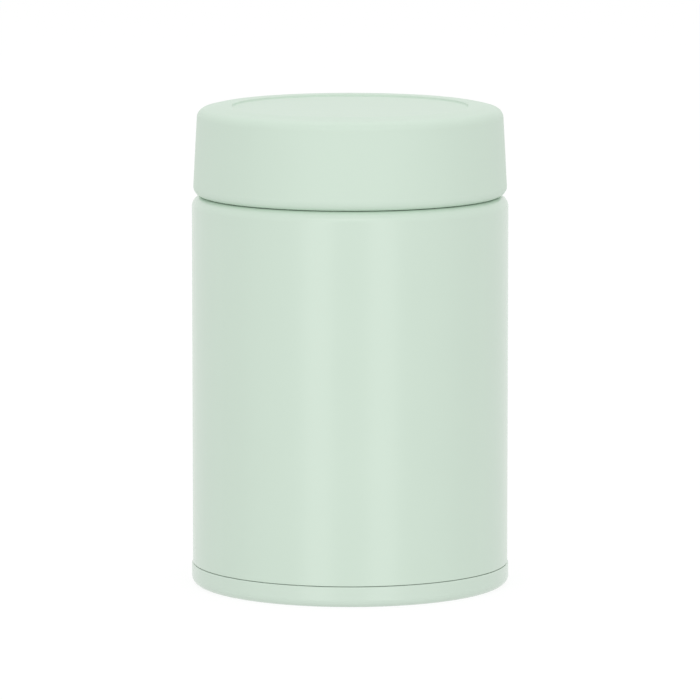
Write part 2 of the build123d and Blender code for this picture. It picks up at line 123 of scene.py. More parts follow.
def white_floor():
    """White glass lit from below: it reads as white and darkens a little under the jar.

    It is clear from its underside, so that the foot of the jar can be looked at from below."""
    material = bpy.data.materials.new("white_floor")
    material.use_nodes = True
    tree = material.node_tree
    tree.nodes.clear()
    bounce = add_node(tree, "ShaderNodeEmission", {"Color": WHITE, "Strength": FLOOR_BOUNCE})
    shown = add_node(tree, "ShaderNodeEmission", {"Color": WHITE, "Strength": FLOOR_GLOW})
    glow = add_node(tree, "ShaderNodeMixShader", {0: shows_surround(tree), 1: bounce, 2: shown})
    shade = add_node(tree, "ShaderNodeBsdfDiffuse", {"Color": (*[FLOOR_SHADE] * 3, 1)})
    above = add_node(tree, "ShaderNodeAddShader", {0: glow, 1: shade})
    below = add_node(tree, "ShaderNodeBsdfTransparent")
    underside = add_node(tree, "ShaderNodeNewGeometry").outputs["Backfacing"]
    surface = add_node(tree, "ShaderNodeMixShader", {0: underside, 1: above, 2: below})
    add_node(tree, "ShaderNodeOutputMaterial", {"Surface": surface})
    return material


def lit_surround():
    """World that is white where it is seen and gives the jar a plain ambient light."""
    world = bpy.data.worlds.new("surround")
    world.use_nodes = True
    tree = world.node_tree
    tree.nodes.clear()
    ambient = add_node(tree, "ShaderNodeBackground", {"Color": WHITE, "Strength": AMBIENT})
    shown = add_node(tree, "ShaderNodeBackground", {"Color": WHITE, "Strength": 1.0})
    surface = add_node(tree, "ShaderNodeMixShader", {0: shows_surround(tree), 1: ambient, 2: shown})
    add_node(tree, "ShaderNodeOutputWorld", {"Surface": surface})
    return world


def softbox(name, azimuth, elevation, width, height, power):
    """Soft lamp that faces the jar. Its azimuth is in degrees round from the camera's side of the jar,
    its size in metres and its power in watts."""
    turn, lift = math.radians(azimuth), math.radians(elevation)
    away = Vector((math.sin(turn) * math.cos(lift), -math.cos(turn) * math.cos(lift), math.sin(lift)))
    light = bpy.data.lights.new(name, "AREA")
    light.shape = "RECTANGLE"
    light.size = width
    light.size_y = height
    light.energy = power
    lamp = bpy.data.objects.new(name, light)
    lamp.location = JAR_MIDDLE + away * LAMP_DISTANCE
    lamp.rotation_euler = (-away).to_track_quat("-Z", "Y").to_euler()
    bpy.context.scene.collection.objects.link(lamp)


def new_piece(name, points, faces=()):
    """Object with a mesh of its own, at the origin."""
    mesh = bpy.data.meshes.new(name)
    mesh.from_pydata(points, [], faces)
    piece = bpy.data.objects.new(name, mesh)
    bpy.context.scene.collection.objects.link(piece)
    return piece


reach = FLOOR_SIZE / 2
floor_corners = [(-reach, -reach), (reach, -reach), (reach, reach), (-reach, reach)]
floor = new_piece("floor", [(x, y, -FLOOR_DROP) for x, y in floor_corners], [(0, 1, 2, 3)])
floor.data.materials.append(white_floor())
floor.visible_glossy = False
floor.visible_shadow = False
bpy.context.scene.world = lit_surround()
softbox("lamp_left", azimuth=-23.5, elevation=-4, width=0.55, height=0.95, power=2.2)
softbox("lamp_right", azimuth=23.5, elevation=-4, width=0.55, height=0.95, power=2.1)
softbox("lamp_front", azimuth=0, elevation=33, width=1.6, height=0.15, power=2.8)
softbox("lamp_top", azimuth=180, elevation=72, width=1.4, height=1.4, power=3.05)


# === Outer shell ===
# Can of 0.5 mm stainless steel, deep drawn, with a square shoulder and a neck into which the lid's thread
# is rolled. Satin enamel is sprayed on the side and the shoulder and baked, and the neck is left bare.
SHELL_WALL = 0.5 * MM
SHOULDER_ROUNDING = 2.65 * MM
SHELL_NECK_HEIGHT = 10.8 * MM  # shoulder to the top of the shell's neck
NECK_ROOT_ROUNDING = 1.2 * MM
SHELL_EDGE_ROUNDING = 0.12 * MM
ENAMEL = 0.05 * MM
BARE_WIDTH = 1.9 * MM  # neck to the edge of the enamel on the shoulder
shell_low, shell_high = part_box("outer_shell")
vessel_low, vessel_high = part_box("inner_vessel")
body_radius = shell_high.x
neck_radius = vessel_high.x
shell_foot = shell_low.z
neck_top = shell_high.z
shoulder = neck_top - SHELL_NECK_HEIGHT
enamel_edge = neck_radius + BARE_WIDTH

THREAD_STARTS = 2
THREAD_LEAD = 9 * MM
THREAD_DEPTH = 1 * MM
THREAD_ROW = 0.14 * MM  # spacing of the rings of points that a ridge is formed in
ROLLED_ROOT = 2.7 * MM  # width of a rolled ridge at its root, where it runs out into the wall
ROLLED_CREST = 0.25 * MM
RUN_OUT = 0.035  # turns over which a ridge comes up out of the wall
NECK_THREAD_HEIGHT = 2.65 * MM  # shoulder to the middle of a ridge's lower end
NECK_THREAD_TURNS = 0.7
NECK_PLAIN_HEIGHT = 0.5 * MM  # top of the neck, above the rings of points for the thread
ROLLED_REACH = 0.55 * SHELL_WALL  # middle of the sheet to just past both of its faces
neck_thread = shoulder + NECK_THREAD_HEIGHT

STEPS_AROUND = 256
ARC_STEP = math.radians(7.5)
EDGE_RING = 0.15 * MM  # ring of points beside a corner, which keeps the long run after it flat
MERGE = 0.001 * MM  # points closer than this become one
CRISP = math.radians(30)  # a sharper turn between two faces shows as an edge
UNPAINTED = -0.5  # a face that points this far inwards and down gets no enamel
WHOLE_MATH = "FunctionNodeIntegerMath"


def outline(*corners):
    """Points of a section in the XZ plane.

    A corner is (radius, height), then its rounding and the spacing of points on the run after it."""
    places = [Vector((corner[0], 0, corner[1])) for corner in corners]
    turns = []
    for i, place in enumerate(places):
        rounding = corners[i][2] if len(corners[i]) > 2 else 0
        if not rounding:
            turns.append([place])
            continue
        before = (places[i - 1] - place).normalized()
        after = (places[(i + 1) % len(places)] - place).normalized()
        turn = math.pi - before.angle(after)
        along = rounding * math.tan(turn / 2)
        centre = place + (before + after).normalized() * (rounding / math.cos(turn / 2))
        first = place + before * along - centre
        swing = first.rotation_difference(place + after * along - centre)
        steps = max(2, math.ceil(turn / ARC_STEP))
        turns.append([centre + Quaternion().slerp(swing, s / steps) @ first for s in range(steps + 1)])
    points = []
    for i, turn in enumerate(turns):
        points.extend(turn)
        start, end = turn[-1], turns[(i + 1) % len(turns)][0]
        run = end - start
        if start.x == end.x == 0:
            continue
        if len(corners[i]) > 3:
            parts = math.ceil(run.length / corners[i][3])
            points.extend(start + run * (k / parts) for k in range(1, parts))
        elif run.length > 4 * EDGE_RING:
            inset = run.normalized() * EDGE_RING
            points.extend((start + inset, end - inset))
    return points


def new_tree(name, inputs):
    """Geometry Nodes tree that takes a mesh, named sizes and a material, and what comes in to it."""
    tree = bpy.data.node_groups.new(name, "GeometryNodeTree")
    tree.interface.new_socket("Mesh", in_out="INPUT", socket_type="NodeSocketGeometry")
    for label, kind in {**inputs, "Material": "Material"}.items():
        tree.interface.new_socket(label, in_out="INPUT", socket_type="NodeSocket" + kind)
    tree.interface.new_socket("Mesh", in_out="OUTPUT", socket_type="NodeSocketGeometry")
    return tree, tree.nodes.new("NodeGroupInput").outputs


def end_tree(tree, mesh, sizes):
    """Ends a tree: copies are made real, and the material is put on."""
    real = add_node(tree, "GeometryNodeRealizeInstances", {"Geometry": mesh})
    coated = add_node(tree, "GeometryNodeSetMaterial", {"Geometry": real, "Material": sizes["Material"]})
    add_node(tree, "NodeGroupOutput", {"Mesh": coated})


def turning_tree():
    """Turns a row of points about the Z axis into a skin, closed at the seam and on the axis."""
    tree, sizes = new_tree("turning", {"Steps Around": "Int", "Closed Outline": "Bool"})
    size = add_node(tree, "GeometryNodeAttributeDomainSize", {"Geometry": sizes["Mesh"]})
    count = size.outputs["Point Count"]
    rows = add_node(tree, WHOLE_MATH, {"operation": "ADD", 0: count, 1: sizes["Closed Outline"]})
    columns = add_node(tree, WHOLE_MATH, {"operation": "ADD", 0: sizes["Steps Around"], 1: 1})
    grid = add_node(tree, "GeometryNodeMeshGrid", {"Vertices X": columns, "Vertices Y": rows})
    index = add_node(tree, "GeometryNodeInputIndex")
    column = add_node(tree, WHOLE_MATH, {"operation": "DIVIDE_FLOOR", 0: index, 1: rows})
    row = add_node(tree, WHOLE_MATH, {"operation": "MODULO", 0: index, 1: rows})
    point = add_node(tree, WHOLE_MATH, {"operation": "MODULO", 0: row, 1: count})
    position = add_node(tree, "GeometryNodeInputPosition")
    source = {"data_type": "FLOAT_VECTOR", "Geometry": sizes["Mesh"], "Value": position, "Index": point}
    place = add_node(tree, "GeometryNodeSampleIndex", source)
    share = add_node(tree, MATH, {"operation": "DIVIDE", 0: column, 1: sizes["Steps Around"]})
    angle = add_node(tree, MATH, {"operation": "MULTIPLY", 0: share, 1: math.tau})
    turned = {"rotation_type": "Z_AXIS", "Vector": place, "Angle": angle}
    turned_place = add_node(tree, "ShaderNodeVectorRotate", turned)
    skin = add_node(tree, "GeometryNodeSetPosition", {"Geometry": grid, "Position": turned_place})
    closed = add_node(tree, "GeometryNodeMergeByDistance", {"Geometry": skin, "Distance": MERGE})
    end_tree(tree, closed, sizes)
    return tree


def thread_tree():
    """Raises helical ridges on a round wall. A ridge runs up anticlockwise and fades in at its ends.

    Only points within Wall Depth of the Wall Radius move, by Ridge Height, which is below zero in a
    bore. A sheet whose two faces both lie within Wall Depth keeps its thickness, as a rolled one does."""
    lengths = (
        "Wall Radius", "Wall Depth", "Ridge Height", "Root Width", "Crest Width",
        "First Height", "Lead", "First Turn", "Turns", "Run Out",
    )
    tree, sizes = new_tree("thread", dict.fromkeys(lengths, "Float"))
    position = add_node(tree, "GeometryNodeInputPosition")
    axes = add_node(tree, "ShaderNodeSeparateXYZ", {0: position}).outputs
    flat = add_node(tree, "ShaderNodeCombineXYZ", {"X": axes["X"], "Y": axes["Y"]})
    radius = add_node(tree, "ShaderNodeVectorMath", {"operation": "LENGTH", 0: flat})
    outward = add_node(tree, "ShaderNodeVectorMath", {"operation": "NORMALIZE", 0: flat})
    angle = add_node(tree, MATH, {"operation": "ARCTAN2", 0: axes["Y"], 1: axes["X"]})
    share = add_node(tree, MATH, {"operation": "DIVIDE", 0: angle, 1: math.tau})
    turn = add_node(tree, MATH, {"operation": "SUBTRACT", 0: share, 1: sizes["First Turn"]})
    half_root = add_node(tree, MATH, {"operation": "DIVIDE", 0: sizes["Root Width"], 1: 2})
    half_crest = add_node(tree, MATH, {"operation": "DIVIDE", 0: sizes["Crest Width"], 1: 2})
    last_full = add_node(tree, MATH, {"operation": "SUBTRACT", 0: sizes["Turns"], 1: sizes["Run Out"]})
    raised = 0
    for start in range(THREAD_STARTS):
        delayed = add_node(tree, MATH, {"operation": "SUBTRACT", 0: turn, 1: start / THREAD_STARTS})
        run = add_node(tree, MATH, {"operation": "FRACT", 0: delayed})
        climb = {"operation": "MULTIPLY_ADD", 0: run, 1: sizes["Lead"], 2: sizes["First Height"]}
        middle = add_node(tree, MATH, climb)
        above = add_node(tree, MATH, {"operation": "SUBTRACT", 0: axes["Z"], 1: middle})
        beside = add_node(tree, MATH, {"operation": "ABSOLUTE", 0: above})
        slopes = (
            (run, 0, sizes["Run Out"]),
            (run, sizes["Turns"], last_full),
            (beside, half_root, half_crest),
        )
        ridge = 1
        for value, low, high in slopes:
            limits = {"Value": value, "From Min": low, "From Max": high}
            slope = add_node(tree, "ShaderNodeMapRange", {"interpolation_type": "SMOOTHSTEP", **limits})
            ridge = add_node(tree, MATH, {"operation": "MULTIPLY", 0: ridge, 1: slope})
        raised = add_node(tree, MATH, {"operation": "MAXIMUM", 0: raised, 1: ridge})
    past_wall = add_node(tree, MATH, {"operation": "SUBTRACT", 0: radius, 1: sizes["Wall Radius"]})
    off_wall = add_node(tree, MATH, {"operation": "ABSOLUTE", 0: past_wall})
    on_wall = add_node(tree, MATH, {"operation": "LESS_THAN", 0: off_wall, 1: sizes["Wall Depth"]})
    moved = add_node(tree, MATH, {"operation": "MULTIPLY", 0: raised, 1: on_wall})
    push = add_node(tree, MATH, {"operation": "MULTIPLY", 0: moved, 1: sizes["Ridge Height"]})
    offset = add_node(tree, "ShaderNodeVectorMath", {"operation": "SCALE", 0: outward, "Scale": push})
    formed = add_node(tree, "GeometryNodeSetPosition", {"Geometry": sizes["Mesh"], "Offset": offset})
    end_tree(tree, formed, sizes)
    return tree


def add_tree(piece, tree, sizes):
    """Puts a Geometry Nodes tree on a piece, with its sizes by name."""
    modifier = piece.modifiers.new(tree.name, "NODES")
    modifier.node_group = tree
    for item in tree.interface.items_tree:
        if item.in_out == "INPUT" and item.name in sizes:
            modifier[item.identifier] = sizes[item.name]


def turn_piece(name, points, material, closed=False):
    """Piece turned from an outline that ends on the axis, or that is closed in itself."""
    piece = new_piece(name, points)
    sizes = {"Steps Around": STEPS_AROUND, "Closed Outline": closed, "Material": material}
    add_tree(piece, turning, sizes)
    return piece


def face_outwards(mesh):
    """Turns a mesh's faces outwards, smooths it, and keeps its corners crisp."""
    shape = bmesh.new()
    shape.from_mesh(mesh)
    bmesh.ops.recalc_face_normals(shape, faces=shape.faces)
    shape.to_mesh(mesh)
    shape.free()
    mesh.shade_smooth()
    mesh.set_sharp_from_angle(angle=CRISP)


def bake(piece):
    """Leaves a piece with the plain mesh that its trees make, without the empty slots that they add."""
    bpy.context.view_layer.update()
    evaluated = bpy.context.evaluated_depsgraph_get()
    mesh = bpy.data.meshes.new_from_object(piece.evaluated_get(evaluated), depsgraph=evaluated)
    piece.modifiers.clear()
    piece.data = mesh
    mesh.name = piece.name
    for slot in reversed(range(len(mesh.materials))):
        if mesh.materials[slot] is None:
            mesh.materials.pop(index=slot)
    face_outwards(mesh)


def new_material(name):
    """Empty material, and its object coordinates in metres."""
    material = bpy.data.materials.new(name)
    material.use_nodes = True
    tree = material.node_tree
    tree.nodes.clear()
    return material, tree, add_node(tree, "ShaderNodeTexCoord").outputs["Object"]


def end_material(material, spread, colours, relief, depth, finish):
    """Ends a material: two colours spread by a pattern, a skin in relief, and the shader's finish."""
    tree = material.node_tree
    first, second = (srgb(code) for code in colours)
    mixed = {"data_type": "RGBA", "Factor": spread, "A": first, "B": second}
    colour = add_node(tree, "ShaderNodeMix", mixed)
    skin = add_node(tree, "ShaderNodeBump", {"Height": relief, "Distance": depth})
    surface = {"Base Color": colour, "Normal": skin, **finish}
    shader = add_node(tree, "ShaderNodeBsdfPrincipled", surface)
    add_node(tree, "ShaderNodeOutputMaterial", {"Surface": shader})
    return material


def satin_enamel_baked():
    """Baked satin enamel: an even soft gloss over a very faint orange peel, and a colour that hardly
    varies with the thickness of the coat."""
    peel_size = 0.9 * MM
    peel_depth = 0.0016 * MM
    coat_patch = 22 * MM
    material, tree, place = new_material("satin_enamel_baked")
    peel = add_node(tree, "ShaderNodeTexNoise", {"Vector": place, "Scale": 1 / peel_size, "Detail": 1})
    film = add_node(tree, "ShaderNodeTexNoise", {"Vector": place, "Scale": 1 / coat_patch, "Detail": 2})
    gloss = add_node(tree, "ShaderNodeMapRange", {"Value": film, "To Min": 0.22, "To Max": 0.25})
    finish = {"Roughness": gloss, "IOR": 1.5}
    return end_material(material, film, ("D0E2D3", "D2E4D5"), peel, peel_depth, finish)


def around_axis(tree, place):
    """Coordinates (distance from the axis, height, 0), in which any pattern becomes rings about it."""
    axes = add_node(tree, "ShaderNodeSeparateXYZ", {0: place}).outputs
    flat = add_node(tree, "ShaderNodeCombineXYZ", {"X": axes["X"], "Y": axes["Y"]})
    radius = add_node(tree, "ShaderNodeVectorMath", {"operation": "LENGTH", 0: flat})
    return add_node(tree, "ShaderNodeCombineXYZ", {"X": radius.outputs["Value"], "Y": axes["Z"]})


def stainless_steel(name, tones, line_size, line_depth, smooth, dull):
    """Stainless steel with fine lines round the axis, from drawing and rolling, and a gloss that
    varies from patch to patch. Lines are drawn a little coarser than real so that they show."""
    patch = 9 * MM
    material, tree, place = new_material(name)
    rings = around_axis(tree, place)
    lines = add_node(tree, "ShaderNodeTexNoise", {"Vector": rings, "Scale": 1 / line_size, "Detail": 3})
    patches = add_node(tree, "ShaderNodeTexNoise", {"Vector": place, "Scale": 1 / patch, "Detail": 3})
    gloss = add_node(tree, "ShaderNodeMapRange", {"Value": patches, "To Min": smooth, "To Max": dull})
    finish = {"Metallic": 1.0, "Roughness": gloss}
    return end_material(material, lines, tones, lines, line_depth, finish)


turning = turning_tree()
thread = thread_tree()
enamel = satin_enamel_baked()
MILL_STEEL = ("C2C2C0", "D2D2D0")
drawn_steel = stainless_steel(
    "stainless_steel_drawn", MILL_STEEL, line_size=0.22 * MM, line_depth=0.0012 * MM, smooth=0.24, dull=0.36
)

inner_neck = neck_radius - SHELL_WALL
thread_rows = (neck_thread - ROLLED_ROOT / 2, neck_top - NECK_PLAIN_HEIGHT)
shell = turn_piece(
    "steel_shell",
    outline(
        (body_radius, shell_foot, SHELL_EDGE_ROUNDING),
        (body_radius, shoulder, SHOULDER_ROUNDING),
        (enamel_edge, shoulder),
        (enamel_edge, shoulder - ENAMEL),
        (neck_radius, shoulder - ENAMEL, NECK_ROOT_ROUNDING),
        (neck_radius, thread_rows[0], 0, THREAD_ROW),
        (neck_radius, thread_rows[1]),
        (neck_radius, neck_top),
        (inner_neck, neck_top),
        (inner_neck, thread_rows[1], 0, THREAD_ROW),
        (inner_neck, thread_rows[0]),
        (inner_neck, shoulder - SHELL_WALL, NECK_ROOT_ROUNDING + SHELL_WALL),
        (body_radius - SHELL_WALL, shoulder - SHELL_WALL, SHOULDER_ROUNDING - SHELL_WALL),
        (body_radius - SHELL_WALL, shell_foot),
    ),
    drawn_steel,
    closed=True,
)
add_tree(
    shell,
    thread,
    {
        "Wall Radius": neck_radius - SHELL_WALL / 2,
        "Wall Depth": ROLLED_REACH,
        "Ridge Height": THREAD_DEPTH,
        "Root Width": ROLLED_ROOT,
        "Crest Width": ROLLED_CREST,
        "First Height": neck_thread,
        "Lead": THREAD_LEAD,
        "First Turn": 0.0,
        "Turns": NECK_THREAD_TURNS,
        "Run Out": RUN_OUT,
        "Material": drawn_steel,
    },
)
bake(shell)
shell.data.materials.append(enamel)
for face in shell.data.polygons:
    radial = Vector((face.center.x, face.center.y, 0)).normalized()
    turned_in = face.normal.dot(radial + Vector((0, 0, 1))) < UNPAINTED
    if face.center.xy.length > enamel_edge - MERGE and not turned_in:
        face.material_index = 1
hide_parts("outer_shell")
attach(shell, "jar")


# === Food vessel ===
# Inner can of 0.4 mm stainless steel, deep drawn and electropolished. Its mouth is rolled over in a
# half-round rim, whose outer edge is welded to the top of the shell's neck all round.
VESSEL_WALL = 0.4 * MM
VESSEL_CORNER = 12 * MM
RIM_ROUNDING = 1.5 * MM
WELD_HEIGHT = 0.30 * MM  # width of the weld between rim and neck
WELD_SINK = 0.06 * MM
mouth_radius = neck_radius - 2 * RIM_ROUNDING
rim = vessel_high.z
vessel_bottom = vessel_low.z

POLISHED_STEEL = ("DEDDDA", "E9E8E6")
electropolished = stainless_steel(
    "stainless_steel_electropolished", POLISHED_STEEL,
    line_size=0.35 * MM, line_depth=0.0008 * MM, smooth=0.48, dull=0.58,
)
vessel = turn_piece(
    "food_vessel",
    outline(
        (0, vessel_bottom + VESSEL_WALL),
        (mouth_radius, vessel_bottom + VESSEL_WALL, VESSEL_CORNER),
        (mouth_radius, rim, RIM_ROUNDING),
        (neck_radius, rim, RIM_ROUNDING),
        (neck_radius, neck_top + WELD_HEIGHT / 2),
        (neck_radius - WELD_SINK, neck_top),
        (neck_radius - VESSEL_WALL, neck_top),
        (neck_radius - VESSEL_WALL, rim - VESSEL_WALL, RIM_ROUNDING - VESSEL_WALL),
        (mouth_radius + VESSEL_WALL, rim - VESSEL_WALL, RIM_ROUNDING - VESSEL_WALL),
        (mouth_radius + VESSEL_WALL, vessel_bottom, VESSEL_CORNER + VESSEL_WALL),
        (0, vessel_bottom),
    ),
    electropolished,
)
bake(vessel)
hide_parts("inner_vessel")
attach(vessel, "jar")


# === Radiation foil ===
# Thin aluminium foil wrapped round the straight wall of the food vessel, inside the vacuum, where it
# throws the heat of the food back. It is wrapped by hand, so it is finely creased all over.
def aluminium_foil_creased():
    """Bright aluminium foil: flat facets between sharp creases, each of which mirrors its own way."""
    crease_spacing = 5 * MM
    crease_depth = 0.10 * MM
    material, tree, place = new_material("aluminium_foil_creased")
    cells = {"feature": "F1", "Vector": place, "Scale": 1 / crease_spacing}
    facets = add_node(tree, "ShaderNodeTexVoronoi", cells)
    ripple = add_node(tree, "ShaderNodeTexNoise", {"Vector": place, "Scale": 2 / crease_spacing})
    height = add_node(tree, MATH, {"operation": "ADD", 0: facets, 1: ripple})
    gloss = add_node(tree, "ShaderNodeMapRange", {"Value": ripple, "To Min": 0.12, "To Max": 0.30})
    finish = {"Metallic": 1.0, "Roughness": gloss}
    return end_material(material, ripple, ("E6E6E8", "F4F4F5"), height, crease_depth, finish)


def coat(name, material):
    """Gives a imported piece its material."""
    for slot in nodes[name].material_slots:
        slot.material = material


coat("radiation_foil", aluminium_foil_creased())


# === Bottom plate ===
# Plate of 0.5 mm stainless steel, pressed with a dimple round the evacuation hole and with its edge
# turned down, where it is welded into the shell.
pressed_steel = stainless_steel(
    "stainless_steel_pressed", MILL_STEEL, line_size=0.5 * MM, line_depth=0.0015 * MM, smooth=0.30, dull=0.42
)
coat("bottom_plate", pressed_steel)


# === Vacuum seal ===
# Bead of nickel braze that melts over the hole in the vacuum furnace and closes it. It sets with a
# smooth skin, slightly wavy and tinted by the heat.
def nickel_braze_fused():
    """Fused nickel braze: a warm grey metal with a soft gloss, shallow waves and a few fine pits."""
    wave_size = 1.2 * MM
    wave_depth = 0.03 * MM
    material, tree, place = new_material("nickel_braze_fused")
    waves = add_node(tree, "ShaderNodeTexNoise", {"Vector": place, "Scale": 1 / wave_size, "Detail": 4})
    gloss = add_node(tree, "ShaderNodeMapRange", {"Value": waves, "To Min": 0.28, "To Max": 0.50})
    finish = {"Metallic": 1.0, "Roughness": gloss}
    return end_material(material, waves, ("A89F92", "C4BDB2"), waves, wave_depth, finish)


coat("vacuum_seal", nickel_braze_fused())


# === Getter and its clip ===
# Pellet of zirconium alloy powder, pressed and sintered, which takes up the last gas in the vacuum. A
# strip of thin stainless steel over it is spot-welded to the bottom plate.
def zirconium_powder_sintered():
    """Sintered zirconium powder: dark, dry and rough, with single grains that catch the light."""
    grain_size = 0.18 * MM
    grain_depth = 0.03 * MM
    material, tree, place = new_material("zirconium_powder_sintered")
    grains = add_node(tree, "ShaderNodeTexVoronoi", {"Vector": place, "Scale": 1 / grain_size})
    finish = {"Metallic": 0.8, "Roughness": 0.72}
    return end_material(material, grains, ("6B6A68", "4A4948"), grains, grain_depth, finish)


coat("getter", zirconium_powder_sintered())
coat("getter_clip", pressed_steel)


# === Base cover ===
# Cover moulded in polypropylene in the colour of the enamel. A spigot on it centres it in the turned-
# down edge of the bottom plate, and the plastic was fed in at the middle of its recessed underside.
SEAM_GAP = 0.13 * MM  # base cover to the lower edge of the shell
BASE_ROUNDING = 2 * MM
BASE_EDGE_ROUNDING = 0.35 * MM
FOOT_RECESS = 1 * MM
FOOT_RING_WIDTH = 5.5 * MM
FOOT_RING_ROUNDING = 0.4 * MM
BASE_FLOOR = 1.6 * MM
SPIGOT_INSET = 1.1 * MM  # side of the body in to the spigot
SPIGOT_WALL = 1.6 * MM
SPIGOT_EDGE_ROUNDING = 0.25 * MM
SPIGOT_ROOT_ROUNDING = 1 * MM
GATE_DISH = 3.5 * MM  # radius of the shallow dish that keeps the gate's stub off the table
GATE_DEPTH = 0.45 * MM
GATE_STUB = 0.9 * MM
GATE_STUB_HEIGHT = 0.3 * MM
GATE_ROUNDING = 0.2 * MM
_, base_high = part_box("base_cover")
base_radius = base_high.x
spigot_top = base_high.z
base_top = shell_foot - SEAM_GAP
spigot_radius = body_radius - SPIGOT_INSET
foot_ring_inside = base_radius - BASE_ROUNDING - FOOT_RING_WIDTH
gate_top = FOOT_RECESS + GATE_DEPTH


def polypropylene_moulded(name, colours, smooth, dull):
    """Polypropylene moulded in a spark-eroded tool: a fine even grain that softens the gloss, and a
    colour that is dyed through. The grain is drawn at twice its real size so that it shows."""
    grain_size = 0.35 * MM
    grain_depth = 0.0018 * MM
    flow_patch = 26 * MM
    material, tree, place = new_material(name)
    grain = add_node(tree, "ShaderNodeTexNoise", {"Vector": place, "Scale": 1 / grain_size, "Detail": 2})
    flow = add_node(tree, "ShaderNodeTexNoise", {"Vector": place, "Scale": 1 / flow_patch, "Detail": 2})
    gloss = add_node(tree, "ShaderNodeMapRange", {"Value": grain, "To Min": smooth, "To Max": dull})
    finish = {"Roughness": gloss, "IOR": 1.49}
    return end_material(material, flow, colours, grain, grain_depth, finish)


green_plastic = polypropylene_moulded(
    "polypropylene_moulded_green", ("D1E2D4", "D3E4D6"), smooth=0.21, dull=0.26
)
base = turn_piece(
    "moulded_base",
    outline(
        (0, gate_top - GATE_STUB_HEIGHT),
        (GATE_STUB, gate_top - GATE_STUB_HEIGHT, GATE_ROUNDING / 2),
        (GATE_STUB, gate_top, GATE_ROUNDING / 2),
        (GATE_DISH, gate_top, GATE_ROUNDING),
        (GATE_DISH + GATE_DEPTH, FOOT_RECESS, GATE_ROUNDING),
        (foot_ring_inside, FOOT_RECESS, FOOT_RING_ROUNDING),
        (foot_ring_inside, 0, FOOT_RING_ROUNDING),
        (base_radius, 0, BASE_ROUNDING),
        (base_radius, base_top, BASE_EDGE_ROUNDING),
        (spigot_radius, base_top),
        (spigot_radius, spigot_top, SPIGOT_EDGE_ROUNDING),
        (spigot_radius - SPIGOT_WALL, spigot_top, SPIGOT_EDGE_ROUNDING),
        (spigot_radius - SPIGOT_WALL, FOOT_RECESS + BASE_FLOOR, SPIGOT_ROOT_ROUNDING),
        (0, FOOT_RECESS + BASE_FLOOR),
    ),
    green_plastic,
)
bake(base)
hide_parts("base_cover")
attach(base, "jar")


# === Base adhesive ===
# Ring of one-part silicone adhesive between the spigot and the bottom plate. It is squeezed out flat
# when the base is pressed on, and cures to a dull, slightly uneven skin.
def silicone_adhesive_cured():
    """Cured silicone adhesive: a dull warm grey, uneven where the bead was laid and pressed."""
    lump_size = 2.5 * MM
    lump_depth = 0.08 * MM
    material, tree, place = new_material("silicone_adhesive_cured")
    lumps = add_node(tree, "ShaderNodeTexNoise", {"Vector": place, "Scale": 1 / lump_size, "Detail": 3})
    finish = {"Roughness": 0.6, "IOR": 1.41}
    return end_material(material, lumps, ("B4B3AE", "C4C3BE"), lumps, lump_depth, finish)


coat("base_adhesive", silicone_adhesive_cured())


# === Lid cover ===
# Outside of the lid, moulded in the same green polypropylene but in a slightly duller tool finish. Its
# side tapers so that it leaves the mould, and its top is a crowned ring round a shallow flat recess.
LID_STEP = 0.25 * MM  # side of the body in to the lower edge of the lid
LID_SIDE_WALL = 1.7 * MM  # at the upper edge
LID_TOP_WALL = 1.8 * MM
LID_BOTTOM_ROUNDING = 2.3 * MM
LID_TOP_ROUNDING = 2.55 * MM
LID_INNER_ROUNDING = 1.5 * MM
LID_EDGE_ROUNDING = 0.3 * MM
RECESS_DEPTH = 0.55 * MM
RECESS_SLOPE = 0.12 * MM  # width of the sloping wall round the recess
RECESS_ROUNDING = 0.26 * MM
RING_WIDTH = 8.65 * MM  # upper edge of the lid in to the recess
CROWN_OFFSET = 3.2 * MM  # edge of the recess out to where the ring begins to fall away
CROWN_RISE = 0.2 * MM
CROWN_ROUNDING = 12 * MM
CROWN_FALL = 1.04 * MM  # edge of the recess down to the corner over the side wall
lid_low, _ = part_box("lid_cover")
_, foam_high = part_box("lid_insulation")
cap_low, cap_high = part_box("thread_cap")
lid_foot = lid_low.z
lid_bore = cap_high.x
lid_inside = foam_high.z
lid_bottom_radius = body_radius - LID_STEP
lid_top_radius = lid_bore + LID_SIDE_WALL
recess = lid_inside + LID_TOP_WALL
ring_top = recess + RECESS_DEPTH
recess_radius = lid_top_radius - RING_WIDTH

lid_plastic = polypropylene_moulded(
    "polypropylene_moulded_green_dull", ("D0E2D3", "D2E4D5"), smooth=0.44, dull=0.50
)
lid = turn_piece(
    "lid_outside",
    outline(
        (0, lid_inside),
        (lid_bore, lid_inside, LID_INNER_ROUNDING),
        (lid_bore, lid_foot, LID_EDGE_ROUNDING),
        (lid_bottom_radius, lid_foot, LID_BOTTOM_ROUNDING),
        (lid_top_radius, ring_top - CROWN_FALL, LID_TOP_ROUNDING),
        (recess_radius + CROWN_OFFSET, ring_top + CROWN_RISE, CROWN_ROUNDING),
        (recess_radius, ring_top, RECESS_ROUNDING),
        (recess_radius - RECESS_SLOPE, recess, RECESS_ROUNDING),
        (0, recess),
    ),
    lid_plastic,
)
bake(lid)
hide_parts("lid_cover")
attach(lid, "outer_lid")


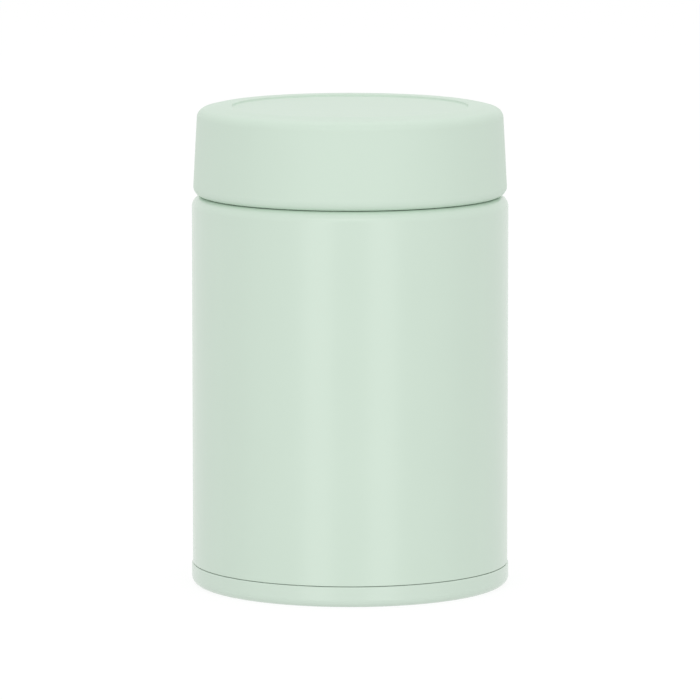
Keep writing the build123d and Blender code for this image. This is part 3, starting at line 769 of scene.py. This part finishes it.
# === Foam in the lids ===
# Disc of expanded polystyrene between the lid cover and the threaded cap, and a ring of it inside the
# plug. The beads are blown up in a steam mould until they press each other flat.
def polystyrene_beads_expanded():
    """Expanded polystyrene: white beads pressed together, with painted shade as a fine dark line in the
    creases between them.
    """
    bead_size = 2.6 * MM
    bead_depth = 0.12 * MM
    seam_share = 0.16  # part of a bead, from its edge, over which it swells up and its painted crease shade fades out
    material, tree, place = new_material("polystyrene_beads_expanded")
    cells = {"feature": "DISTANCE_TO_EDGE", "Vector": place, "Scale": 1 / bead_size}
    beads = add_node(tree, "ShaderNodeTexVoronoi", cells)
    rounded = {"interpolation_type": "SMOOTHSTEP", "Value": beads, "From Max": seam_share}
    swell_and_crease_shade = add_node(tree, "ShaderNodeMapRange", rounded)
    finish = {"Roughness": 0.7, "IOR": 1.3}
    # The darker colour lies in the creases where beads meet, following the bumps: it is painted shade.
    return end_material(material, swell_and_crease_shade, ("D8D8D2", "F2F2EE"), swell_and_crease_shade, bead_depth, finish)


bead_foam = polystyrene_beads_expanded()
coat("lid_insulation", bead_foam)
coat("inner_lid_foam", bead_foam)


# === Threaded cap ===
# Inside of the lid, moulded in light grey polypropylene and welded into the lid cover. It has the thread
# in its bore, and four claws above the thread that carry the plug by its flange.
CAP_PLATE = 1.6 * MM
CAP_WALL = 1.5 * MM
CAP_FOOT_THICKNESS = 1.6 * MM
CAP_ROOT_ROUNDING = 0.4 * MM
THREAD_CLEARANCE = 0.3 * MM  # crest of a ridge to the wall opposite
inner_low, inner_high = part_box("inner_lid")
gasket_low, gasket_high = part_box("lid_gasket")
cap_foot = cap_low.z
cap_top = cap_high.z
cap_plate = cap_top - CAP_PLATE
cap_bore = neck_radius + THREAD_DEPTH + THREAD_CLEARANCE

LID_THREAD_TURNS = 0.5
LID_THREAD_DELAY = 0.12  # turns from the lower end of a neck ridge to that of the lid ridge under it
LID_RIDGE_DROP = 1.535 * MM  # middle of a neck ridge down to that of the lid ridge under it
MOULDED_ROOT = 2.1 * MM
MOULDED_CREST = 0.8 * MM
MOULDED_ROW = 0.11 * MM
MOULDED_RUN_OUT = 0.012
MOULDED_REACH = 0.02 * MM  # takes in the face of the bore alone
lid_thread = neck_thread + THREAD_LEAD * LID_THREAD_DELAY - LID_RIDGE_DROP
ridge_top = lid_thread + THREAD_LEAD * LID_THREAD_TURNS + MOULDED_ROOT / 2
ridge_foot = cap_foot + LID_EDGE_ROUNDING

CLAW_COUNT = 4
CLAW_ANGLE = math.radians(46)
CLAW_THICKNESS = 0.45 * MM
CLAW_RAMP = 0.45 * MM
CLAW_STEPS = 32
CLAW_ROOT = 0.2 * MM  # depth to which a claw runs into the skirt
CLAW_CLEARANCE = 0.5 * MM  # claws to the outside of the neck
LID_PLAY = 0.15 * MM  # claws to the flange above them
OFF_LINE = math.pi / STEPS_AROUND  # turn that keeps a copy's sides off the piece's own lines of points
claw_radius = neck_radius + CLAW_CLEARANCE
claw_root = cap_bore + CLAW_ROOT
claw_top = gasket_high.z - LID_PLAY


def copies_tree(name, operation):
    """Sets copies of another object round the Z axis, and joins them to a mesh or cuts them from it."""
    tree, sizes = new_tree(name, {"Copied": "Object", "Count": "Int", "First Angle": "Float"})
    source = {"Object": sizes["Copied"], "As Instance": True}
    copied = add_node(tree, "GeometryNodeObjectInfo", source).outputs["Geometry"]
    points = add_node(tree, "GeometryNodePoints", {"Count": sizes["Count"]})
    index = add_node(tree, "GeometryNodeInputIndex")
    share = add_node(tree, MATH, {"operation": "DIVIDE", 0: index, 1: sizes["Count"]})
    turned = {"operation": "MULTIPLY_ADD", 0: share, 1: math.tau, 2: sizes["First Angle"]}
    angle = add_node(tree, MATH, turned)
    rotation = add_node(tree, "ShaderNodeCombineXYZ", {"Z": angle})
    placed = {"Points": points, "Instance": copied, "Rotation": rotation}
    around = add_node(tree, "GeometryNodeInstanceOnPoints", placed)
    real = add_node(tree, "GeometryNodeRealizeInstances", {"Geometry": around})
    joined = {"operation": operation, "solver": "EXACT", 1: real}
    whole = add_node(tree, "GeometryNodeMeshBoolean", joined)
    tree.links.new(sizes["Mesh"], whole.inputs[0 if operation == "DIFFERENCE" else 1])
    end_tree(tree, whole.outputs["Mesh"], sizes)
    return tree


def sector(name, section, angle, steps):
    """Solid that a closed section sweeps as it turns about the Z axis by an angle."""
    count = len(section)
    turns = [Quaternion((0, 0, 1), angle * step / steps) for step in range(steps + 1)]
    points = [turn @ point for turn in turns for point in section]
    faces = [tuple(range(count)), tuple(range(steps * count, (steps + 1) * count))]
    for step in range(steps):
        for i in range(count):
            here, beside = step * count + i, step * count + (i + 1) % count
            faces.append((here, beside, beside + count, here + count))
    piece = new_piece(name, points, faces)
    face_outwards(piece.data)
    return piece


add_copies = copies_tree("added_copies", "UNION")
grey_plastic = polypropylene_moulded(
    "polypropylene_moulded_grey", ("C8CBC8", "CDD0CD"), smooth=0.38, dull=0.48
)
claw_section = [
    Vector((claw_radius, 0, claw_top)),
    Vector((claw_radius, 0, claw_top - CLAW_THICKNESS)),
    Vector((claw_root, 0, claw_top - CLAW_THICKNESS - CLAW_RAMP)),
    Vector((claw_root, 0, claw_top)),
]
claw = sector("claw", claw_section, CLAW_ANGLE, CLAW_STEPS)
cap = turn_piece(
    "threaded_cap",
    outline(
        (0, cap_plate),
        (cap_bore, cap_plate, CAP_ROOT_ROUNDING),
        (cap_bore, ridge_top, 0, MOULDED_ROW),
        (cap_bore, ridge_foot),
        (cap_bore + LID_EDGE_ROUNDING, cap_foot),
        (lid_bore, cap_foot),
        (lid_bore, cap_foot + CAP_FOOT_THICKNESS),
        (cap_bore + CAP_WALL, cap_foot + CAP_FOOT_THICKNESS, CAP_ROOT_ROUNDING),
        (cap_bore + CAP_WALL, cap_plate, CAP_ROOT_ROUNDING),
        (lid_bore, cap_plate),
        (lid_bore, cap_top),
        (0, cap_top),
    ),
    grey_plastic,
)
add_tree(
    cap,
    thread,
    {
        "Wall Radius": cap_bore,
        "Wall Depth": MOULDED_REACH,
        "Ridge Height": -THREAD_DEPTH,
        "Root Width": MOULDED_ROOT,
        "Crest Width": MOULDED_CREST,
        "First Height": lid_thread,
        "Lead": THREAD_LEAD,
        "First Turn": LID_THREAD_DELAY,
        "Turns": LID_THREAD_TURNS,
        "Run Out": MOULDED_RUN_OUT,
        "Material": grey_plastic,
    },
)
claw_places = {"Copied": claw, "Count": CLAW_COUNT, "First Angle": OFF_LINE}
add_tree(cap, add_copies, {**claw_places, "Material": grey_plastic})
bake(cap)
bpy.data.objects.remove(claw)
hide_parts("thread_cap")
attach(cap, "outer_lid")


# === Plug ===
# Inner lid, moulded in the same grey polypropylene as the cap. Its flange lies over the rim, a dish in
# its underside takes the valve's seal, and a tube above the dish takes the spring. A disc closes it.
PLUG_CLEARANCE = 2.2 * MM  # wall of the plug to the wall of the mouth, taken up by the gasket
PLUG_WALL = 1.4 * MM
PLUG_FLOOR = 1.6 * MM
PLUG_CORNER = 2 * MM
PLUG_INNER_CORNER = 0.8 * MM
PLUG_LEDGE = 0.8 * MM
DISC_THICKNESS = 1.2 * MM
FLANGE_EDGE_ROUNDING = 0.4 * MM
GASKET_RIB = 0.6 * MM
GASKET_RIB_HEIGHT = 0.8 * MM
GASKET_RIB_ROUNDING = 0.3 * MM
DISH_RADIUS = 9 * MM
DISH_DEPTH = 3 * MM
DISH_ROUNDING = 0.7 * MM
TUBE_RADIUS = 5.2 * MM
TUBE_WALL = 1.1 * MM
STEM_BORE = 1.6 * MM
AIR_HOLE_COUNT = 6
AIR_HOLE_RADIUS = 0.7 * MM
AIR_HOLE_CIRCLE = 4.1 * MM
AIR_HOLE_SIDES = 32
plug_foot = inner_low.z
flange_top = inner_high.z
flange_radius = inner_high.x
flange = gasket_high.z
gasket_foot = gasket_low.z
rib_foot = gasket_foot - GASKET_RIB_HEIGHT
plug_floor = plug_foot + PLUG_FLOOR
seat = plug_foot + DISH_DEPTH
dish_top = seat + PLUG_FLOOR
disc_foot = flange_top - DISC_THICKNESS
plug_radius = mouth_radius - PLUG_CLEARANCE
plug_bore = plug_radius - PLUG_WALL
ledge_radius = plug_bore - PLUG_LEDGE


def drill_for(radius, side, height, length):
    """Round pin that stands beside the axis, to be cut out of a moulding as a hole."""
    shape = bmesh.new()
    bmesh.ops.create_cone(
        shape, cap_ends=True, segments=AIR_HOLE_SIDES, radius1=radius, radius2=radius, depth=length
    )
    bmesh.ops.translate(shape, verts=shape.verts, vec=(side, 0, height))
    pin = new_piece("drill", [])
    shape.to_mesh(pin.data)
    shape.free()
    return pin


cut_copies = copies_tree("cut_copies", "DIFFERENCE")
drill = drill_for(AIR_HOLE_RADIUS, AIR_HOLE_CIRCLE, (seat + dish_top) / 2, 2 * PLUG_FLOOR)
plug = turn_piece(
    "plug",
    outline(
        (STEM_BORE, seat),
        (DISH_RADIUS, seat, DISH_ROUNDING),
        (DISH_RADIUS, plug_foot, DISH_ROUNDING),
        (plug_radius, plug_foot, PLUG_CORNER),
        (plug_radius, rib_foot),
        (plug_radius + GASKET_RIB, rib_foot, GASKET_RIB_ROUNDING),
        (plug_radius + GASKET_RIB, gasket_foot),
        (plug_radius, gasket_foot),
        (plug_radius, flange),
        (flange_radius, flange),
        (flange_radius, flange_top, FLANGE_EDGE_ROUNDING),
        (plug_bore, flange_top),
        (plug_bore, disc_foot),
        (ledge_radius, disc_foot),
        (ledge_radius, plug_floor, PLUG_INNER_CORNER),
        (DISH_RADIUS + PLUG_FLOOR, plug_floor, PLUG_INNER_CORNER),
        (DISH_RADIUS + PLUG_FLOOR, dish_top, PLUG_INNER_CORNER),
        (TUBE_RADIUS + TUBE_WALL, dish_top),
        (TUBE_RADIUS + TUBE_WALL, disc_foot),
        (TUBE_RADIUS, disc_foot),
        (TUBE_RADIUS, dish_top),
        (STEM_BORE, dish_top),
    ),
    grey_plastic,
    closed=True,
)
hole_places = {"Copied": drill, "Count": AIR_HOLE_COUNT, "First Angle": OFF_LINE}
add_tree(plug, cut_copies, {**hole_places, "Material": grey_plastic})
bake(plug)
bpy.data.objects.remove(drill)
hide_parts("inner_lid")
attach(plug, "inner_lid")
coat("inner_lid_cap", grey_plastic)


# === Gasket ===
# Ring moulded in translucent silicone and stretched over the plug. Two lips wipe the mouth, and a flap
# under the flange closes on the rim. It comes off for washing.
GASKET_WALL = 1.1 * MM
GASKET_CLEARANCE = 0.1 * MM  # tip of a lip to the wall of the mouth
GASKET_LIP_PITCH = 1.5 * MM
GASKET_LIP_SLOPE = 1 * MM
GASKET_LIP_ROUNDING = 0.18 * MM
GASKET_FLAP_CLEARANCE = 0.05 * MM  # flap to the top of the rim
GASKET_FLAP_ROUNDING = 0.25 * MM
gasket_body = plug_radius + GASKET_WALL
lip_tip = mouth_radius - GASKET_CLEARANCE
flap = rim + GASKET_FLAP_CLEARANCE
flap_edge = gasket_high.x
lower_lip = gasket_foot + GASKET_LIP_PITCH
upper_lip = lower_lip + GASKET_LIP_PITCH


def silicone_moulded_translucent():
    """Moulded food-grade silicone: milky, with light carried a little way in, and a soft dry gloss."""
    flow_patch = 6 * MM
    skin_size = 0.5 * MM
    skin_depth = 0.002 * MM
    light_depth = 1.2 * MM
    material, tree, place = new_material("silicone_moulded_translucent")
    flow = add_node(tree, "ShaderNodeTexNoise", {"Vector": place, "Scale": 1 / flow_patch, "Detail": 2})
    grain = add_node(tree, "ShaderNodeTexNoise", {"Vector": place, "Scale": 1 / skin_size, "Detail": 2})
    gloss = add_node(tree, "ShaderNodeMapRange", {"Value": grain, "To Min": 0.36, "To Max": 0.50})
    milky = {"Subsurface Weight": 0.35, "Subsurface Scale": light_depth}
    finish = {"Roughness": gloss, "IOR": 1.41, **milky}
    return end_material(material, flow, ("DADAD6", "E2E2DE"), grain, skin_depth, finish)


clear_silicone = silicone_moulded_translucent()
gasket = turn_piece(
    "gasket",
    outline(
        (plug_radius, gasket_foot),
        (gasket_body, gasket_foot),
        (lip_tip, gasket_foot + GASKET_LIP_SLOPE, GASKET_LIP_ROUNDING),
        (lip_tip, lower_lip, GASKET_LIP_ROUNDING),
        (gasket_body, lower_lip),
        (lip_tip, lower_lip + GASKET_LIP_SLOPE, GASKET_LIP_ROUNDING),
        (lip_tip, upper_lip, GASKET_LIP_ROUNDING),
        (gasket_body, upper_lip),
        (gasket_body, flap),
        (flap_edge, flap, GASKET_FLAP_ROUNDING),
        (flap_edge, flange, GASKET_FLAP_ROUNDING),
        (plug_radius, flange),
    ),
    clear_silicone,
    closed=True,
)
bake(gasket)
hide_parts("lid_gasket")
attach(gasket, "inner_lid")


# === Valve ===
# Moulded stem with a silicone disc on its head. The disc closes the air holes from below until the stem
# is pushed down. A steel spring pushes up a collar that is pressed on the stem.
STEM_RADIUS = 1.5 * MM
STEM_TOP_ROUNDING = 0.5 * MM
STEM_HEAD_ROUNDING = 0.4 * MM
SEAL_ROUNDING = 0.6 * MM
WIRE_RADIUS = 0.2 * MM
SPRING_TURNS = 6.0
STEPS_PER_TURN = 48
WIRE_SIDES = 16
stem_low, stem_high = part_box("valve_stem")
seal_low, seal_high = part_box("valve_seal")
spring_low, spring_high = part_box("valve_spring")


def coil_tree():
    """Winds a wire into a spring whose first and last turns are closed. Heights are those of its ends."""
    lengths = dict.fromkeys(("Coil Radius", "Wire Radius", "Foot", "Top", "Turns"), "Float")
    tree, sizes = new_tree("coil", {**lengths, "Steps Per Turn": "Int", "Wire Sides": "Int"})
    steps = {"Resolution": sizes["Steps Per Turn"], "Rotations": sizes["Turns"]}
    radii = dict.fromkeys(("Start Radius", "End Radius"), sizes["Coil Radius"])
    spiral = {**steps, **radii, "Height": 0.0, "Reverse": True}
    helix = add_node(tree, "GeometryNodeCurveSpiral", spiral)
    along = add_node(tree, "GeometryNodeSplineParameter").outputs["Factor"]
    turn = add_node(tree, MATH, {"operation": "MULTIPLY", 0: along, 1: sizes["Turns"]})
    wire = add_node(tree, MATH, {"operation": "MULTIPLY", 0: sizes["Wire Radius"], 1: 2})
    last_open = add_node(tree, MATH, {"operation": "SUBTRACT", 0: sizes["Turns"], 1: 1})
    length = add_node(tree, MATH, {"operation": "SUBTRACT", 0: sizes["Top"], 1: sizes["Foot"]})
    whole_climb = add_node(tree, MATH, {"operation": "SUBTRACT", 0: length, 1: wire})
    closed_climb = add_node(tree, MATH, {"operation": "MULTIPLY", 0: wire, 1: 2})
    open_climb = add_node(tree, MATH, {"operation": "SUBTRACT", 0: whole_climb, 1: closed_climb})
    climbs = (
        (0, 1, wire),
        (1, last_open, open_climb),
        (last_open, sizes["Turns"], wire),
    )
    height = add_node(tree, MATH, {"operation": "ADD", 0: sizes["Foot"], 1: sizes["Wire Radius"]})
    for low, high, climb in climbs:
        limits = {"Value": turn, "From Min": low, "From Max": high, "To Max": climb}
        rise = add_node(tree, "ShaderNodeMapRange", limits)
        height = add_node(tree, MATH, {"operation": "ADD", 0: height, 1: rise})
    lift = add_node(tree, "ShaderNodeCombineXYZ", {"Z": height})
    wound = add_node(tree, "GeometryNodeSetPosition", {"Geometry": helix, "Offset": lift})
    circle = {"Resolution": sizes["Wire Sides"], "Radius": sizes["Wire Radius"]}
    section = add_node(tree, "GeometryNodeCurvePrimitiveCircle", circle)
    drawn = {"Curve": wound, "Profile Curve": section, "Fill Caps": True}
    swept = add_node(tree, "GeometryNodeCurveToMesh", drawn)
    end_tree(tree, swept, sizes)
    return tree


def stainless_wire_drawn():
    """Drawn stainless spring wire: bright, with fine die lines and a trace of straw from tempering."""
    line_size = 0.12 * MM
    line_depth = 0.001 * MM
    material, tree, place = new_material("stainless_wire_drawn")
    lines = add_node(tree, "ShaderNodeTexNoise", {"Vector": place, "Scale": 1 / line_size, "Detail": 2})
    finish = {"Metallic": 1.0, "Roughness": 0.26}
    return end_material(material, lines, ("BDBBB5", "CFCDC7"), lines, line_depth, finish)


stem = turn_piece(
    "stem",
    outline(
        (0, stem_low.z),
        (stem_high.x, stem_low.z, STEM_HEAD_ROUNDING),
        (stem_high.x, seal_low.z),
        (STEM_RADIUS, seal_low.z),
        (STEM_RADIUS, stem_high.z, STEM_TOP_ROUNDING),
        (0, stem_high.z),
    ),
    grey_plastic,
)
bake(stem)
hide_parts("valve_stem")
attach(stem, "valve")

seal_disc = turn_piece(
    "seal_disc",
    outline(
        (STEM_RADIUS, seal_low.z),
        (seal_high.x, seal_low.z, SEAL_ROUNDING),
        (seal_high.x, seal_high.z),
        (STEM_RADIUS, seal_high.z),
    ),
    clear_silicone,
    closed=True,
)
bake(seal_disc)
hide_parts("valve_seal")
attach(seal_disc, "valve")

spring = new_piece("spring", [])
add_tree(
    spring,
    coil_tree(),
    {
        "Coil Radius": spring_high.x - WIRE_RADIUS,
        "Wire Radius": WIRE_RADIUS,
        "Foot": spring_low.z,
        "Top": spring_high.z,
        "Turns": SPRING_TURNS,
        "Steps Per Turn": STEPS_PER_TURN,
        "Wire Sides": WIRE_SIDES,
        "Material": stainless_wire_drawn(),
    },
)
bake(spring)
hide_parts("valve_spring")
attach(spring, "valve")
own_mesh(spring)
coat("valve_collar", grey_plastic)
